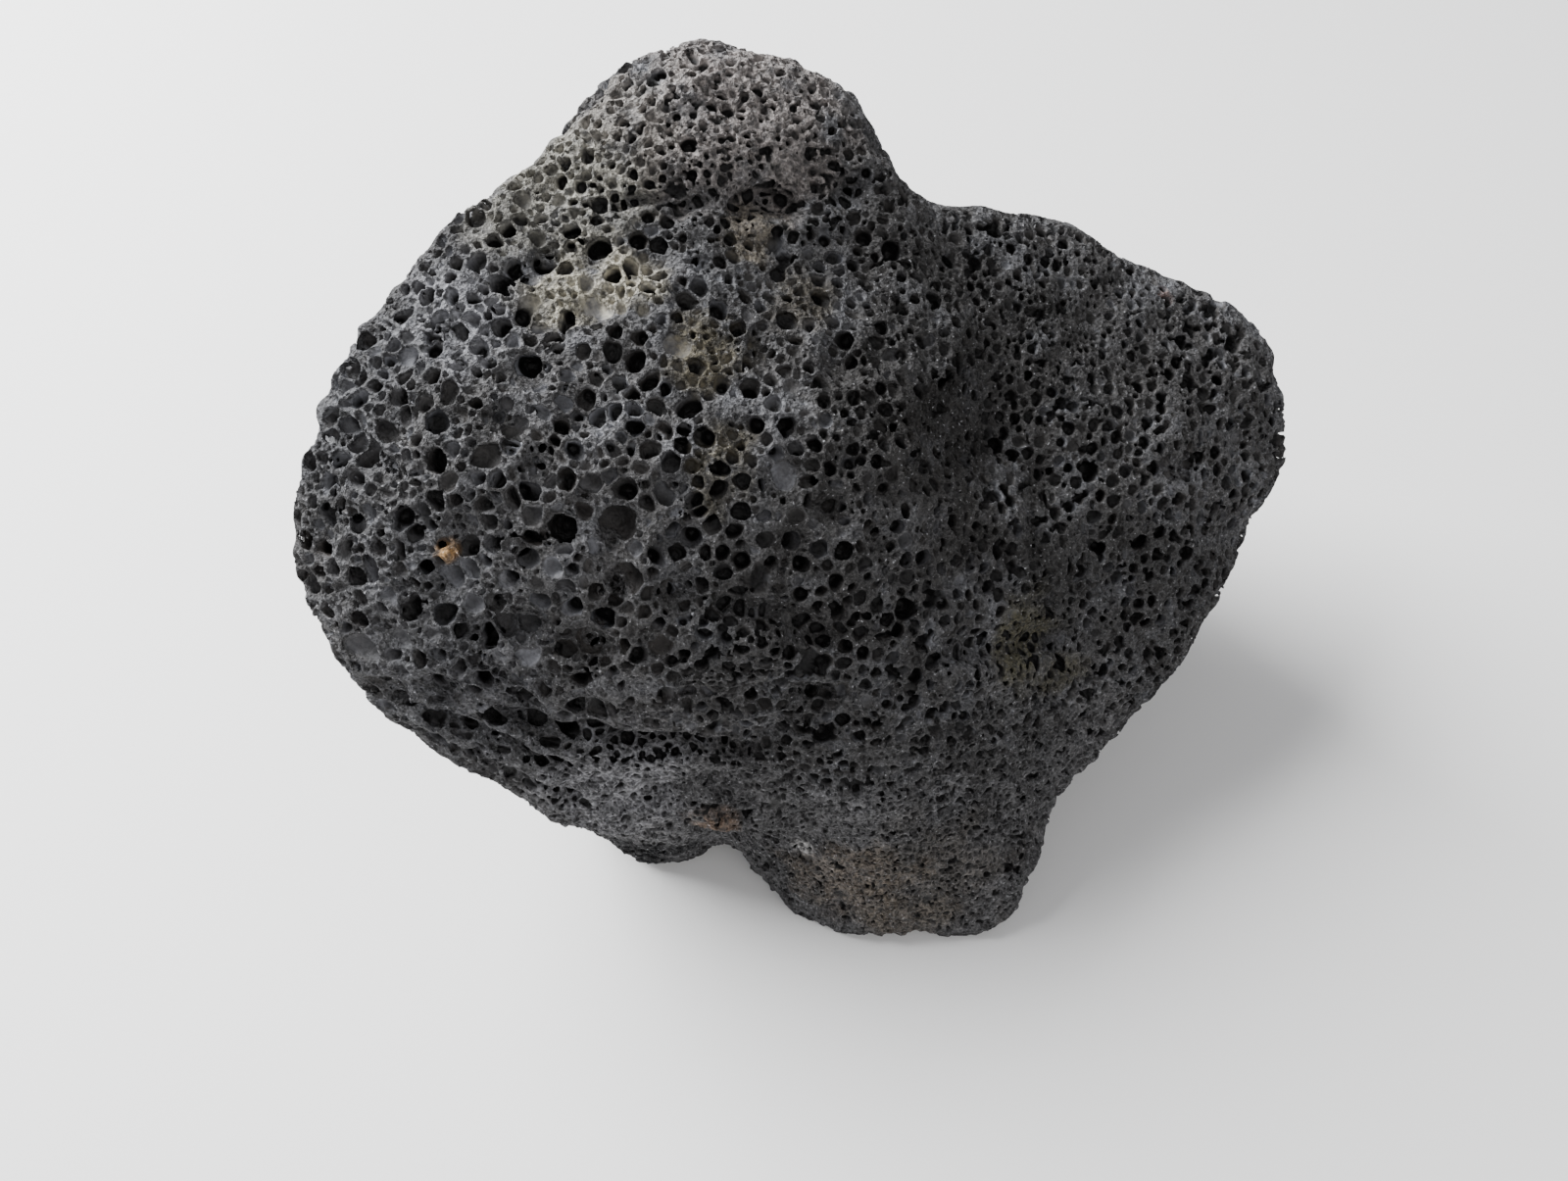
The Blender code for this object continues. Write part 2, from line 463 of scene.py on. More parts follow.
def zone_values(points: Array) -> tuple[Array, Array, Array]:
    """Blends the zones' foam at points.

    Args:
        points: positions, one row each.

    Returns:
        Typical vesicle radius, share of crust and share of drag for each point.
    """
    weight = np.full(len(points), PLAIN_FOAM[0], np.float32)
    radius = weight * PLAIN_FOAM[1]
    crust = weight * PLAIN_FOAM[2]
    drag = np.zeros(len(points), np.float32)
    for zone in FOAM_ZONES:
        far = ((points - np.array(zone.centre, np.float32)) ** 2).sum(axis=1)
        share = np.exp(-far / (2.0 * (zone.reach * ZONE_SPREAD) ** 2)).astype(np.float32)
        weight += share
        radius += share * zone.radius
        crust += share * zone.crust
        drag += share * zone.drag
    radius = radius / weight * (1.0 + UNEVEN_RADIUS * clouds(points, UNEVEN_SPAN, 5))
    return radius, crust / weight, drag / weight


class Zones:
    """The zones' foam on a coarse grid.

    Args:
        grid: the coarse grid.
    """

    def __init__(self, grid: Grid) -> None:
        """Fills the grid.

        Args:
            grid: the coarse grid.
        """
        self.grid = grid
        axes = [grid.axis(which) for which in range(3)]
        spots = np.stack(np.meshgrid(*axes, indexing="ij"), axis=-1).reshape(-1, 3)
        values = [part.reshape(grid.shape).astype(np.float32) for part in zone_values(spots)]
        self.radius, self.crust, self.drag = values

    def at(self, points: Array) -> tuple[Array, Array, Array]:
        """Typical vesicle radius, share of crust and share of drag at points."""
        parts = (self.radius, self.crust, self.drag)
        return tuple(self.grid.sample(part, points) for part in parts)


def line_depth(points: Array, settled: list[tuple[Array, Array]]) -> Array:
    """How far the crack and fold lines move the skin at points.

    Args:
        points: positions, one row each.
        settled: each line's spots, brought onto the skin, and the outward directions there.

    Returns:
        Depth taken off, below zero where stone is put on.
    """
    total = np.zeros(len(points), np.float32)
    wobble = [LINE_WANDER * clouds(points, WANDER_SPAN, 31 + which) for which in range(3)]
    wobble = np.stack(wobble, axis=1)
    for line, (spots, out) in zip(LINES, settled):
        thick = max(line.depth, LINE_THICK)
        room = 3.0 * thick + 3.0
        low = spots.min(axis=0) - room
        high = spots.max(axis=0) + room
        near = np.flatnonzero(((points > low) & (points < high)).all(axis=1))
        held = points[near] + wobble[near]
        best = np.full(len(near), np.inf, np.float32)
        for start, end, up in zip(spots[:-1], spots[1:], out[:-1] + out[1:]):
            run = end - start
            up = up / np.linalg.norm(up)
            part = np.clip(((held - start) @ run) / (run @ run), 0.0, 1.0)
            gap = held - start - part[:, None] * run
            rise = gap @ up
            aside = (gap**2).sum(axis=1) - rise**2
            best = np.minimum(best, aside / line.width**2 + (rise / thick) ** 2)
        total[near] += line.turn.value * line.turn.reach() * line.depth * np.exp(-0.5 * best)
    return total


@dataclass
class Skin:
    """The rock's skin as a field of depths, below zero inside the stone.

    Args:
        coarse_step: voxel size of the field.
        band: how far from the skin the field is known.
        crisp: blur that keeps the solid's cups.
        broad: blur that melts them, for the fine crust.
        grown: how far the skin is moved out, to make up for the blur.
        worked: how far from the skin its depths are worked on.
    """

    coarse_step: float = 1.0
    band: float = 12.0
    crisp: float = 1.3
    broad: float = 3.2
    grown: float = 1.1
    worked: float = 6.0
    grid: Grid = field(init=False)
    depth: Array = field(init=False)

    def read_solid(self) -> None:
        """Takes the solid's triangles from the frame and fills the field."""
        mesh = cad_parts[NODE].data
        mesh.calc_loop_triangles()
        points = np.empty(len(mesh.vertices) * 3, np.float32)
        mesh.vertices.foreach_get("co", points)
        points = points.reshape(-1, 3) / METRES
        corners = np.empty(len(mesh.loop_triangles) * 3, np.int32)
        mesh.loop_triangles.foreach_get("vertices", corners)
        level = vdb.FloatGrid.createLevelSetFromPolygons(
            points.astype(np.float32),
            triangles=corners.reshape(-1, 3).astype(np.uint32),
            transform=vdb.createLinearTransform(voxelSize=self.coarse_step),
            halfWidth=self.band / self.coarse_step,
        )
        low, high = points.min(axis=0), points.max(axis=0)
        self.grid = Grid.around(low, high, WIDE_ROOM, self.coarse_step)
        raw = np.zeros(self.grid.shape, np.float32)
        start = np.round(self.grid.low / self.coarse_step).astype(int)
        level.copyToArray(raw, ijk=tuple(int(s) for s in start))
        crisp = eased(raw, self.crisp / self.coarse_step)
        broad = eased(raw, self.broad / self.coarse_step)
        near = np.flatnonzero(np.abs(raw.reshape(-1)) < self.worked)
        spots = self.points(near)
        radius = zone_values(spots)[0]
        share = np.zeros(raw.size, np.float32)
        share[near] = np.clip((2.0 - radius) / 0.9, 0.25, 1.0)
        share = share.reshape(raw.shape)
        self.depth = crisp + (broad - crisp) * share - self.grown
        spots_on = [self.settled(np.array(line.points)) for line in LINES]
        settled = [(on, self.outward(on)) for on in spots_on]
        self.depth.reshape(-1)[near] += line_depth(spots, settled)

    def points(self, places: Array) -> Array:
        """Positions of voxels.

        Args:
            places: flat voxel numbers.

        Returns:
            One row for each voxel.
        """
        cell = np.stack(np.unravel_index(places, self.grid.shape), axis=1)
        return self.grid.low + cell * self.grid.step

    def scatter(self, count: int, rng: np.random.Generator) -> tuple[Array, Array]:
        """Picks random spots on the skin.

        Args:
            count: how many.
            rng: source of chance.

        Returns:
            The spots and the outward directions there.
        """
        near = np.flatnonzero(np.abs(self.depth.reshape(-1)) < 0.7 * self.coarse_step)
        chosen = rng.choice(near, count)
        spots = self.points(chosen) + rng.uniform(-0.5, 0.5, (count, 3)) * self.coarse_step
        out = self.outward(spots)
        spots = spots - out * self.grid.sample(self.depth, spots)[:, None]
        return spots, out

    def settled(self, spots: Array) -> Array:
        """Brings spots near the skin onto it.

        Args:
            spots: positions, one row each.

        Returns:
            The places on the skin.
        """
        for _ in range(3):
            spots = spots - self.outward(spots) * self.grid.sample(self.depth, spots)[:, None]
        return spots

    def outward(self, spots: Array) -> Array:
        """Outward directions at spots.

        Args:
            spots: positions, one row each.

        Returns:
            One unit row for each spot.
        """
        slope = []
        for which in range(3):
            push = np.zeros(3)
            push[which] = self.coarse_step
            ahead = self.grid.sample(self.depth, spots + push)
            behind = self.grid.sample(self.depth, spots - push)
            slope.append(ahead - behind)
        out = np.stack(slope, axis=1)
        return out / np.maximum(np.linalg.norm(out, axis=1, keepdims=True), 1e-6)


@dataclass
class Foam:
    """The vesicles, kept as distances to the nearest and the next one.

    Args:
        grid: the fine grid.
        margin: room around a vesicle where its distance is kept.
        least: how far a vesicle may shrink to fit in, as a share of its drawn radius.
        uneven: most that a vesicle is longer than wide by chance.
        drawn: the same by the full drag of the flow.
        flow_hold: how firmly the full drag turns a vesicle along the flow.
        closed: share of the vesicles that a full crust closes.
    """

    grid: Grid
    margin: float = 2.6
    least: float = 0.72
    uneven: float = 0.4
    drawn: float = 0.9
    flow_hold: float = 1.6
    closed: float = 0.75
    first: Array = field(init=False)
    second: Array = field(init=False)
    owner: Array = field(init=False)
    tones: list[float] = field(default_factory=lambda: [MIDDLE_TONE])
    centres: list[Array] = field(default_factory=list)
    radii: list[float] = field(default_factory=list)

    def __post_init__(self) -> None:
        """Starts with no vesicle."""
        self.first = np.full(self.grid.shape, FAR_OFF, np.float32)
        self.second = np.full(self.grid.shape, FAR_OFF, np.float32)
        self.owner = np.zeros(self.grid.shape, np.int32)
        self.axes = [self.grid.axis(which) for which in range(3)]

    def cells(self, spots: Array) -> tuple[Array, Array, Array]:
        """Finds the voxels that hold spots.

        Args:
            spots: positions, one row each.

        Returns:
            The voxels' numbers along each axis.
        """
        cell = np.rint((spots - self.grid.low) / self.grid.step).astype(np.int64)
        cell = np.clip(cell, 0, np.array(self.grid.shape) - 1)
        return cell[..., 0], cell[..., 1], cell[..., 2]

    def around(self, centre: Array, reach: float) -> tuple[tuple[slice, ...], list[Array]]:
        """Finds the part of the grid round a point.

        Args:
            centre: the point.
            reach: how far the part goes to each side.

        Returns:
            The part's slices, and x, y and z from the point, ready to be combined.
        """
        cuts = []
        sides = []
        for which in range(3):
            low = int((centre[which] - reach - self.grid.low[which]) / self.grid.step)
            high = int((centre[which] + reach - self.grid.low[which]) / self.grid.step) + 2
            cut = slice(max(low, 0), min(high, self.grid.shape[which]))
            cuts.append(cut)
            sides.append(self.axes[which][cut] - np.float32(centre[which]))
        return tuple(cuts), list(np.meshgrid(*sides, indexing="ij", sparse=True))

    def add(self, centre: Array, radius: float, pull: Array, stretch: float, tone: float) -> None:
        """Adds a vesicle.

        Args:
            centre: its middle.
            radius: its radius across the stretch.
            pull: direction of the stretch.
            stretch: length against width.
            tone: its own shade, from dark to pale.
        """
        window, (x, y, z) = self.around(centre, radius * stretch + self.margin)
        square = x * x + y * y + z * z
        if stretch > ROUND_ENOUGH:
            along = x * pull[0] + y * pull[1] + z * pull[2]
            square = square - np.float32(1.0 - 1.0 / stretch**2) * along * along
        far = np.sqrt(np.maximum(square, 0.0)) - np.float32(radius)
        first = self.first[window]
        second = self.second[window]
        self.owner[window][far < first] = len(self.tones)
        np.minimum(second, np.maximum(first, far), out=second)
        np.minimum(first, far, out=first)
        self.tones.append(tone)
        self.centres.append(centre)
        self.radii.append(radius)

    def fill(self, skin: Skin, zones: Zones, family: Family, seed: int) -> None:
        """Packs one family of vesicles into the skin.

        Args:
            skin: the rock's skin.
            zones: what foam there is where.
            family: what to pack.
            seed: picks the places.
        """
        rng = np.random.default_rng(seed)
        spots, out = skin.scatter(family.tries, rng)
        typical, crust, drag = zones.at(spots)
        radius = typical * rng.uniform(*family.scale, family.tries)
        radius = np.maximum(radius, SMALLEST)
        sunk = rng.uniform(*family.layer.value, family.tries)
        centres = spots - out * (radius * sunk)[:, None]
        pull = rng.normal(size=(family.tries, 3))
        pull /= np.linalg.norm(pull, axis=1, keepdims=True)
        pull = pull * (1.0 - drag)[:, None] + np.array(FLOW) * (self.flow_hold * drag)[:, None]
        pull /= np.linalg.norm(pull, axis=1, keepdims=True)
        stretch = 1.0 + self.uneven * rng.random(family.tries) ** 1.5 + self.drawn * drag
        tone = rng.random(family.tries)
        lowest = radius * self.least
        keep = spots[:, 2] > LOWEST + radius * 0.6
        keep &= rng.random(family.tries) > self.closed * crust
        keep &= self.first[self.cells(centres)] > lowest * family.room
        for turn in np.flatnonzero(keep):
            fits = min(radius[turn], self.first[self.cells(centres[turn])] / family.room)
            if fits > lowest[turn]:
                self.add(centres[turn], float(fits), pull[turn], float(stretch[turn]),
                         float(tone[turn]))


@dataclass
class LavaRock:
    """The whole rock: its carved field, its mesh and the pieces that share it.

    Args:
        step: voxel size of the carved field.
        zone_step: voxel size of the zones' foam.
        wall: thickness of the walls between vesicles.
        swell: how far vesicles swell until they meet, as a share of the typical radius.
        open_share: share of the vesicles that lead on into a dark hole.
        coarse: typical radius above which holes stay within the walls of their vesicles.
        wear_and_rim_highlight: how much such a hole may take off a wall's side.
        drop: least and most depth of a hole's middle, as shares of the typical radius.
        width: least and most half width of a hole, as shares of the vesicle's radius.
        astray: how far a hole's middle and its direction stray, as a share of the radius.
        hole_floor: height below which no hole is cut.
        triangles: most triangles that the pieces have together.
        seed: picks every random choice.
    """

    step: float = 0.5
    zone_step: float = 3.0
    wall: float = 0.52
    swell: float = 0.55
    open_share: float = 0.58
    coarse: float = 1.55
    wear_and_rim_highlight: float = 0.12
    drop: tuple[float, float] = (0.55, 1.2)
    width: tuple[float, float] = (0.55, 1.0)
    astray: float = 0.15
    hole_floor: float = 6.0
    triangles: int = 960000
    seed: int = 11

    def carve(self) -> None:
        """Makes the field of the opened foam."""
        self.skin = Skin()
        self.skin.read_solid()
        LOG.info("skin field %s", self.skin.grid.shape)
        low = np.array(CAD_BOUNDS[0]) / METRES
        high = np.array(CAD_BOUNDS[1]) / METRES
        self.grid = Grid.around(low, high, CLOSE_ROOM, self.step)
        self.zones = Zones(Grid.around(low, high, WIDE_ROOM, self.zone_step))
        self.foam = Foam(self.grid)
        for turn, family in enumerate(FAMILIES):
            self.foam.fill(self.skin, self.zones, family, self.seed + turn)
            LOG.info("vesicles so far: %d", len(self.foam.tones) - 1)
        depth = stretched(self.skin.depth, self.skin.grid, self.grid)
        self.roughen(depth)
        self.open_foam(depth)
        self.open_holes(depth)
        self.seat_grain(depth)
        self.floor_cut(depth)
        self.field = np.clip(depth, -FIELD_BAND * self.step, FIELD_BAND * self.step)
        LOG.info("field carved")

    def roughen(self, depth: Array) -> None:
        """Roughens the skin, more so where it is a granular crust.

        Args:
            depth: the skin's field, changed in place.
        """
        for part in SKIN_LUMPS:
            depth += part.height * lumps(self.grid, part.span, part.seed)
        grain = np.zeros_like(depth)
        for part in CRUST_LUMPS:
            grain += part.height * lumps(self.grid, part.span, part.seed)
        grain *= stretched(self.zones.crust, self.zones.grid, self.grid)
        depth += grain

    def open_foam(self, depth: Array) -> None:
        """Cuts the vesicles out of the skin and leaves thin walls between them.

        Args:
            depth: the skin's field, changed in place.
        """
        self.walls = (self.foam.first - self.foam.second) * np.float32(0.5)
        self.walls += np.float32(0.5 * self.wall)
        for part in WALL_LUMPS:
            self.walls += part.height * lumps(self.grid, part.span, part.seed)
        hollow = stretched(self.zones.radius, self.zones.grid, self.grid)
        hollow *= -self.swell
        hollow += self.foam.first
        np.maximum(hollow, self.walls, out=hollow)
        np.negative(hollow, out=hollow)
        np.maximum(depth, hollow, out=depth)

    def open_holes(self, depth: Array) -> None:
        """Cuts holes that lead from the vesicles down into the stone.

        Args:
            depth: the skin's field, changed in place.
        """
        rng = np.random.default_rng(self.seed + 50)
        middles = np.array(self.foam.centres)
        sizes = np.array(self.foam.radii)
        clear = np.linalg.norm(middles - np.array(GRAIN_PLACE), axis=1) > GRAIN_ROOM
        clear &= middles[:, 2] > self.hole_floor
        chosen = np.flatnonzero((rng.random(len(sizes)) < self.open_share) & clear)
        middles = middles[chosen]
        out = self.skin.outward(middles)
        typical = self.zones.at(middles)[0]
        lift = self.skin.grid.sample(self.skin.depth, middles)
        drop = lift + typical * rng.uniform(*self.drop, len(chosen))
        aside = rng.normal(size=(len(chosen), 3)) * (self.astray * sizes[chosen])[:, None]
        starts = middles - out * drop[:, None] + aside
        lean = out + self.astray * rng.normal(size=(len(chosen), 3))
        lean /= np.linalg.norm(lean, axis=1, keepdims=True)
        wide = sizes[chosen] * rng.uniform(*self.width, len(chosen))
        wide = np.maximum(wide, NARROWEST)
        for start, width, way, size in zip(starts, wide, lean, typical):
            self.bore(depth, start, float(width), way, size > self.coarse)
        LOG.info("holes: %d", len(chosen))

    def bore(self, depth: Array, centre: Array, radius: float, lean: Array,
             walled: bool) -> None:
        """Cuts one hole.

        Args:
            depth: the skin's field, changed in place.
            centre: its middle.
            radius: its half width.
            lean: the direction that it runs in.
            walled: whether it stays within the walls of its vesicle.
        """
        window, (x, y, z) = self.foam.around(centre, radius * 2.0 + 1.0)
        along = x * lean[0] + y * lean[1] + z * lean[2]
        square = x * x + y * y + z * z - HOLE_LENGTH * along * along
        far = np.sqrt(np.maximum(square, 0.0)) - radius
        if walled:
            far = np.maximum(far, self.walls[window] - np.float32(self.wear_and_rim_highlight))
        depth[window] = np.maximum(depth[window], -far)

    def seat_grain(self, depth: Array) -> None:
        """Sets the round tan grain into the left bulge.

        Args:
            depth: the opened field, changed in place.
        """
        spot = np.array([GRAIN_PLACE])
        lift = self.skin.grid.sample(self.skin.depth, spot)
        centre = (spot - self.skin.outward(spot) * (lift + GRAIN_SUNK)[:, None])[0]
        window, (x, y, z) = self.foam.around(centre, GRAIN_RADIUS + 2.0)
        near = np.sqrt(x * x + y * y + z * z) - np.float32(GRAIN_RADIUS)
        depth[window] = np.minimum(depth[window], near)

    def floor_cut(self, depth: Array) -> None:
        """Cuts off all that reaches below the floor, so that the feet are level."""
        height = self.grid.axis(2)
        np.maximum(depth, -height[None, None, :], out=depth)

    def surface(self) -> tuple[Array, Array]:
        """Turns the field to triangles.

        Returns:
            Corner positions in millimetres and triangles.
        """
        level = vdb.FloatGrid(FIELD_BAND * self.step)
        level.copyFromArray(self.field)
        points, _, quads = level.convertToPolygons(isovalue=0.0, adaptivity=0.0)
        points = np.asarray(points) * self.step + self.grid.low
        quads = np.asarray(quads).astype(np.int64)
        quads = outer_shell(quads, len(points))
        triangles = np.concatenate((quads[:, (0, 2, 1)], quads[:, (0, 3, 2)]))
        LOG.info("raw surface: %d triangles", len(triangles))
        return points, triangles

    def thinned(self, points: Array, triangles: Array) -> tuple[Array, Array]:
        """Brings the surface down to the triangles it may have.

        Args:
            points: corner positions.
            triangles: the triangles.

        Returns:
            Fewer corner positions and triangles.
        """
        dense = as_mesh("dense", points, triangles)
        held = bpy.data.objects.new("dense", dense)
        bpy.context.scene.collection.objects.link(held)
        fewer = held.modifiers.new("fewer", "DECIMATE")
        fewer.ratio = min(1.0, self.triangles / len(triangles))
        seen = held.evaluated_get(bpy.context.evaluated_depsgraph_get())
        mesh = seen.to_mesh()
        mesh.calc_loop_triangles()
        spots = np.empty(len(mesh.vertices) * 3, np.float32)
        mesh.vertices.foreach_get("co", spots)
        corners = np.empty(len(mesh.loop_triangles) * 3, np.int32)
        mesh.loop_triangles.foreach_get("vertices", corners)
        seen.to_mesh_clear()
        bpy.data.objects.remove(held)
        bpy.data.meshes.remove(dense)
        LOG.info("thinned surface: %d triangles", len(corners) // 3)
        return spots.reshape(-1, 3) / METRES, corners.reshape(-1, 3)

    def share_out(self, points: Array, triangles: Array, stone: bpy.types.Material) -> None:
        """Makes the pieces, each an equal share of the surface.

        Args:
            points: corner positions.
            triangles: the triangles.
            stone: the material.
        """
        normals = corner_normals(points, triangles)
        middles = points[triangles].mean(axis=1)
        shares = [("rock", np.arange(len(triangles)))]
        for axis, names in ((0, ("left", "right")), (1, ("front", "back")), (2, ("low", "high"))):
            split = []
            for name, members in shares:
                order = members[np.argsort(middles[members, axis], kind="stable")]
                half = len(order) // 2
                split.append((f"{name}_{names[0]}", order[:half]))
                split.append((f"{name}_{names[1]}", order[half:]))
            shares = split
        looks = self.looks(points)
        for name, members in shares:
            used, local = np.unique(triangles[members], return_inverse=True)
            mesh = as_mesh(name, points[used], local.reshape(-1, 3))
            for label, values in looks.items():
                layer = mesh.attributes.new(label, "FLOAT", "POINT")
                layer.data.foreach_set("value", values[used].astype(np.float32))
            mesh.polygons.foreach_set("use_smooth", np.ones(len(members), bool))
            mesh.normals_split_custom_set_from_vertices(normals[used].tolist())
            mesh.materials.append(stone)
            piece = bpy.data.objects.new(name, mesh)
            bpy.context.scene.collection.objects.link(piece)
            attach(piece, "root")
            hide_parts(NODE)
            LOG.info("%s: %d triangles", name, len(members))

    def looks(self, points: Array) -> dict[str, Array]:
        """What the material needs to know at the corners.

        Args:
            points: corner positions.

        Returns:
            By name, for each corner: depth under the skin, the same against the vesicles'
            size, place on a wall's edge, shade of the vesicle and share of crust.
        """
        radius, crust, _ = self.zones.at(points)
        sunk = -self.skin.grid.sample(self.skin.depth, points)
        place = self.foam.cells(points)
        first = self.foam.first[place]
        apart = self.foam.second[place] - first
        thin = np.clip(1.0 - apart / EDGE_APART, 0.0, 1.0)
        thin *= np.clip(1.4 - first / EDGE_NEAR, 0.0, 1.0)
        shade = np.array(self.foam.tones)[self.foam.owner[place]]
        shade = np.where(sunk > TONED_DEPTH, shade, MIDDLE_TONE)
        return {
            "sunk": sunk,
            # deep and edge also place the painted light and shade: paler cup floors, near-black
            # holes and highlights on the rims.
            "deep": sunk / radius,
            "edge": thin * np.clip(1.2 - sunk / EDGE_SUNK, 0.0, 1.0),
            "shade": shade,
            "crust": crust,
        }

    def build(self, stone: bpy.types.Material) -> None:
        """Carves, meshes and shares out the rock.

        Args:
            stone: its material.
        """
        self.carve()
        points, triangles = self.surface()
        points, triangles = self.thinned(points, triangles)
        self.share_out(points, triangles, stone)


def outer_shell(faces: Array, count: int) -> Array:
    """Keeps the faces of the largest connected surface.

    Args:
        faces: corner numbers, one row a face.
        count: number of corners.

    Returns:
        The faces that are kept.
    """
    label = np.arange(count)
    start = faces.ravel()
    end = np.roll(faces, 1, axis=1).ravel()
    while len(start):
        one = label[start]
        two = label[end]
        apart = one != two
        start, end, one, two = start[apart], end[apart], one[apart], two[apart]
        label[np.maximum(one, two)] = np.minimum(one, two)
        while True:
            root = label[label]
            if np.array_equal(root, label):
                break
            label = root
    kinds, sizes = np.unique(label[faces[:, 0]], return_counts=True)
    keep = kinds[np.argmax(sizes)]
    return faces[label[faces[:, 0]] == keep]


def as_mesh(name: str, points: Array, triangles: Array) -> bpy.types.Mesh:
    """Makes a mesh.

    Args:
        name: its name.
        points: corner positions in millimetres.
        triangles: its triangles.

    Returns:
        The mesh, in metres.
    """
    mesh = bpy.data.meshes.new(name)
    mesh.vertices.add(len(points))
    mesh.vertices.foreach_set("co", (points * METRES).astype(np.float32).ravel())
    mesh.loops.add(len(triangles) * 3)
    mesh.loops.foreach_set("vertex_index", triangles.astype(np.int32).ravel())
    mesh.polygons.add(len(triangles))
    starts = np.arange(len(triangles), dtype=np.int32) * 3
    mesh.polygons.foreach_set("loop_start", starts)
    mesh.update(calc_edges=True)
    return mesh


def corner_normals(points: Array, triangles: Array) -> Array:
    """Outward directions at the corners of a surface.

    Args:
        points: corner positions.
        triangles: the triangles.

    Returns:
        One unit row for each corner.
    """
    a, b, c = (points[triangles[:, turn]] for turn in range(3))
    face = np.cross(b - a, c - a)
    total = np.zeros((len(points), 3))
    for turn in range(3):
        for which in range(3):
            total[:, which] += np.bincount(
                triangles[:, turn], weights=face[:, which], minlength=len(points)
            )
    return total / np.maximum(np.linalg.norm(total, axis=1, keepdims=True), 1e-12)


@dataclass(frozen=True)
class Patch:
    """A patch of colour on the stone: a mineral or weathered tint, or painted shade or painted
    light on a region.

    Args:
        centre: its middle.
        reach: its half width.
        colour: its colour.
        strength: how much it covers, from none to all.
    """

    centre: Triple
    reach: float
    colour: Colour
    strength: float


PATCHES = (
    # Painted shade: the middle, the right front and the shoulder are darkened where they face
    # away from the light.
    Patch((26, 4, 128), 38, (0.024, 0.022, 0.0205), 0.7),
    Patch((8, -26, 114), 34, (0.024, 0.022, 0.0205), 0.65),
    Patch((60, -30, 90), 28, (0.028, 0.026, 0.0245), 0.5),
    Patch((76, 20, 114), 26, (0.04, 0.0375, 0.036), 0.5),
    # Pale yellow-grey and brown tints on the crown.
    Patch((-56, 9, 156), 10, (0.34, 0.315, 0.245), 0.8),
    Patch((-42, 12, 155), 9, (0.42, 0.39, 0.31), 0.8),
    Patch((-52, 32, 167), 17, (0.35, 0.333, 0.283), 0.75),
    Patch((-66, 24, 162), 12, (0.25, 0.24, 0.21), 0.6),
    Patch((-16, 46, 172), 26, (0.25, 0.222, 0.208), 0.7),
    Patch((-40, 44, 172), 14, (0.24, 0.22, 0.2), 0.65),
    Patch((-16, 26, 154), 8, (0.2, 0.17, 0.12), 0.5),
    # Painted light: the left side, which faces the window, is made paler and bluish grey.
    Patch((-78, 6, 154), 16, (0.265, 0.265, 0.282), 0.65),
    Patch((-100, 0, 132), 24, (0.12, 0.122, 0.132), 0.45),
    Patch((-88, -34, 118), 24, (0.11, 0.11, 0.118), 0.45),
    Patch((-86, -54, 97), 22, (0.12, 0.12, 0.13), 0.5),
    # Olive, brown and rust tints, the paler band and spots, and the tan grain.
    Patch((-28, -3, 147), 10, (0.125, 0.105, 0.06), 0.6),
    Patch((-26, -24, 136), 9, (0.11, 0.093, 0.054), 0.5),
    Patch((-5, 10, 148), 10, (0.09, 0.075, 0.05), 0.4),
    Patch((42, -40, 84), 12, (0.08, 0.073, 0.046), 0.85),
    Patch((52, -41, 70), 8, (0.09, 0.081, 0.054), 0.6),
    Patch((-58, -64, 69), 22, (0.18, 0.178, 0.187), 0.65),
    Patch((20, -78, 30), 24, (0.075, 0.066, 0.057), 0.6),
    Patch((-2, -76, 28), 18, (0.135, 0.107, 0.08), 0.6),
    Patch((12, -82, 13), 15, (0.12, 0.10, 0.078), 0.5),
    Patch((-14, -69, 37), 4, (0.36, 0.35, 0.34), 0.9),
    Patch((-36, -69, 56), 7, (0.15, 0.092, 0.055), 0.65),
    Patch((86, 38, 117), 4, (0.2, 0.09, 0.06), 0.8),
    Patch((-83, -36, 128), 3.0, (0.38, 0.22, 0.09), 1.0),
    # Painted shade: the low left foot by the floor is made near black.
    Patch((-57, -62, 19), 20, (0.008, 0.008, 0.009), 1.0),
)


# A patch's colour in the darkest and in the palest vesicle, as shares of its own colour.
PATCH_TONES = (0.62, 1.38)


